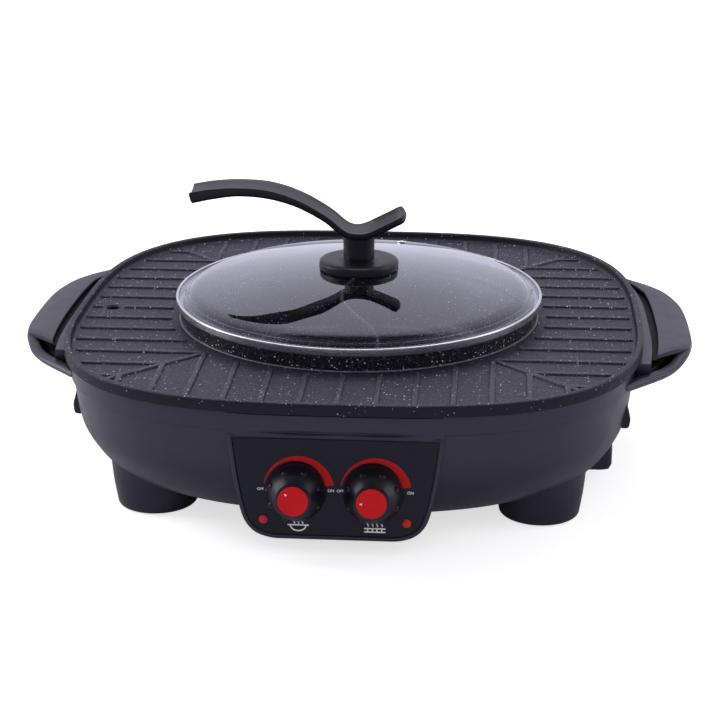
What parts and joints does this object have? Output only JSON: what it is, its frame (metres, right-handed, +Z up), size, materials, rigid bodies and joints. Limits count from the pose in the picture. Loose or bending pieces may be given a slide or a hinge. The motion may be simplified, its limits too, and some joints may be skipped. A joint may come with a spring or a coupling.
{
  "type": "hot pot grill combo",
  "caption": "Electric table cooker: a divided hot pot under a glass lid in the middle of a square-round ribbed grill plate, on a footed base with side handles and knobs.",
  "frame": {"origin": "on the table under the middle of the whole object's box; the pot's axis stands 11.455 mm behind it", "axes": "+Z up, -Y the front with the knobs, +X to the right of someone who faces the knobs"},
  "size_m": [0.5438, 0.4881, 0.2294],
  "materials": {
    "body_plastic": "blue-black moulded plastic, soft gloss",
    "grip_plastic": "black heat-proof plastic, soft gloss",
    "stone_coating": "cast aluminium with a dark non-stick stone-effect coating, fine white speckle",
    "pot_coating": "pressed aluminium with a dark non-stick coating",
    "lid_glass": "clear tempered glass",
    "bright_steel": "bright stainless steel",
    "sheet_metal": "plain pressed sheet",
    "heater_sheath": "heat-darkened steel tube",
    "panel_face": "dark smooth panel",
    "knob_red": "deep red plastic",
    "lamp_red": "red lamp lens",
    "brass": "plain brass",
    "rubber": "black rubber",
    "insulator": "moulded insulator",
    "lead_sheath": "heat-proof lead sleeve"
  },
  "bodies": {
    "base": {"base_housing": "body_plastic", "foot_pad_front_left": "rubber", "foot_pad_front_right": "rubber", "foot_pad_rear_left": "rubber", "foot_pad_rear_right": "rubber", "bottom_cover": "sheet_metal", "cover_screw_1": "bright_steel", "cover_screw_2": "bright_steel", "cover_screw_3": "bright_steel", "reflector_pan": "sheet_metal", "pan_screw_1": "bright_steel", "pan_screw_2": "bright_steel", "grill_heating_element": "heater_sheath", "pot_heating_element": "heater_sheath", "element_stand": "sheet_metal", "thermal_fuse": "insulator", "handle_left": "body_plastic", "handle_right": "body_plastic", "handle_bracket_left_front": "grip_plastic", "handle_bracket_left_rear": "grip_plastic", "handle_bracket_right_front": "grip_plastic", "handle_bracket_right_rear": "grip_plastic", "handle_screw_left_front": "bright_steel", "handle_screw_left_rear": "bright_steel", "handle_screw_right_front": "bright_steel", "handle_screw_right_rear": "bright_steel", "control_box": "body_plastic", "control_panel": "panel_face", "thermostat_left": "insulator", "thermostat_nut_left": "brass", "indicator_lamp_left": "lamp_red", "thermostat_right": "insulator", "thermostat_nut_right": "brass", "indicator_lamp_right": "lamp_red", "drain_tube": "heater_sheath", "inlet_housing": "body_plastic", "inlet_socket": "insulator", "inlet_pin_live": "brass", "inlet_pin_earth": "brass", "inlet_pin_neutral": "brass", "terminal_block": "insulator", "supply_lead": "lead_sheath", "thermostat_lead_left": "lead_sheath", "thermostat_lead_right": "lead_sheath"},
    "plate": {"grill_plate": "stone_coating"},
    "pot": {"hot_pot": "pot_coating"},
    "lid": {"lid_glass": "lid_glass", "steam_vent_eyelet": "bright_steel", "lid_rim_ring": "bright_steel", "lid_knob_base": "grip_plastic", "lid_handle": "grip_plastic", "lid_washer": "rubber", "lid_screw": "bright_steel"},
    "left_knob": {"knob_left": "grip_plastic", "knob_cap_left": "knob_red", "spindle_left": "brass"},
    "right_knob": {"knob_right": "grip_plastic", "knob_cap_right": "knob_red", "spindle_right": "brass"},
    "drip_tray": {"drip_box": "body_plastic"}
  },
  "joints": [
    {"name": "plate_lift", "type": "slide", "parent": "base", "child": "plate", "axis": [0, 0, 1], "range_m": [0, 0.12]},
    {"name": "pot_lift", "type": "slide", "parent": "plate", "child": "pot", "axis": [0, 0, 1], "range_m": [0, 0.09]},
    {"name": "lid_lift", "type": "slide", "parent": "pot", "child": "lid", "axis": [0, 0, 1], "range_m": [0, 0.12]},
    {"name": "knob_left_turn", "type": "hinge", "parent": "base", "child": "left_knob", "pos_m": [-0.028, -0.21854, 0.058], "axis": [0, 0.9976, -0.0698], "range_deg": [-45, 135]},
    {"name": "knob_right_turn", "type": "hinge", "parent": "base", "child": "right_knob", "pos_m": [0.028, -0.21854, 0.058], "axis": [0, 0.9976, -0.0698], "range_deg": [0, 180]},
    {"name": "drip_box_slide", "type": "slide", "parent": "base", "child": "drip_tray", "axis": [-1, 0, 0], "range_m": [0, 0.075]}
  ]
}
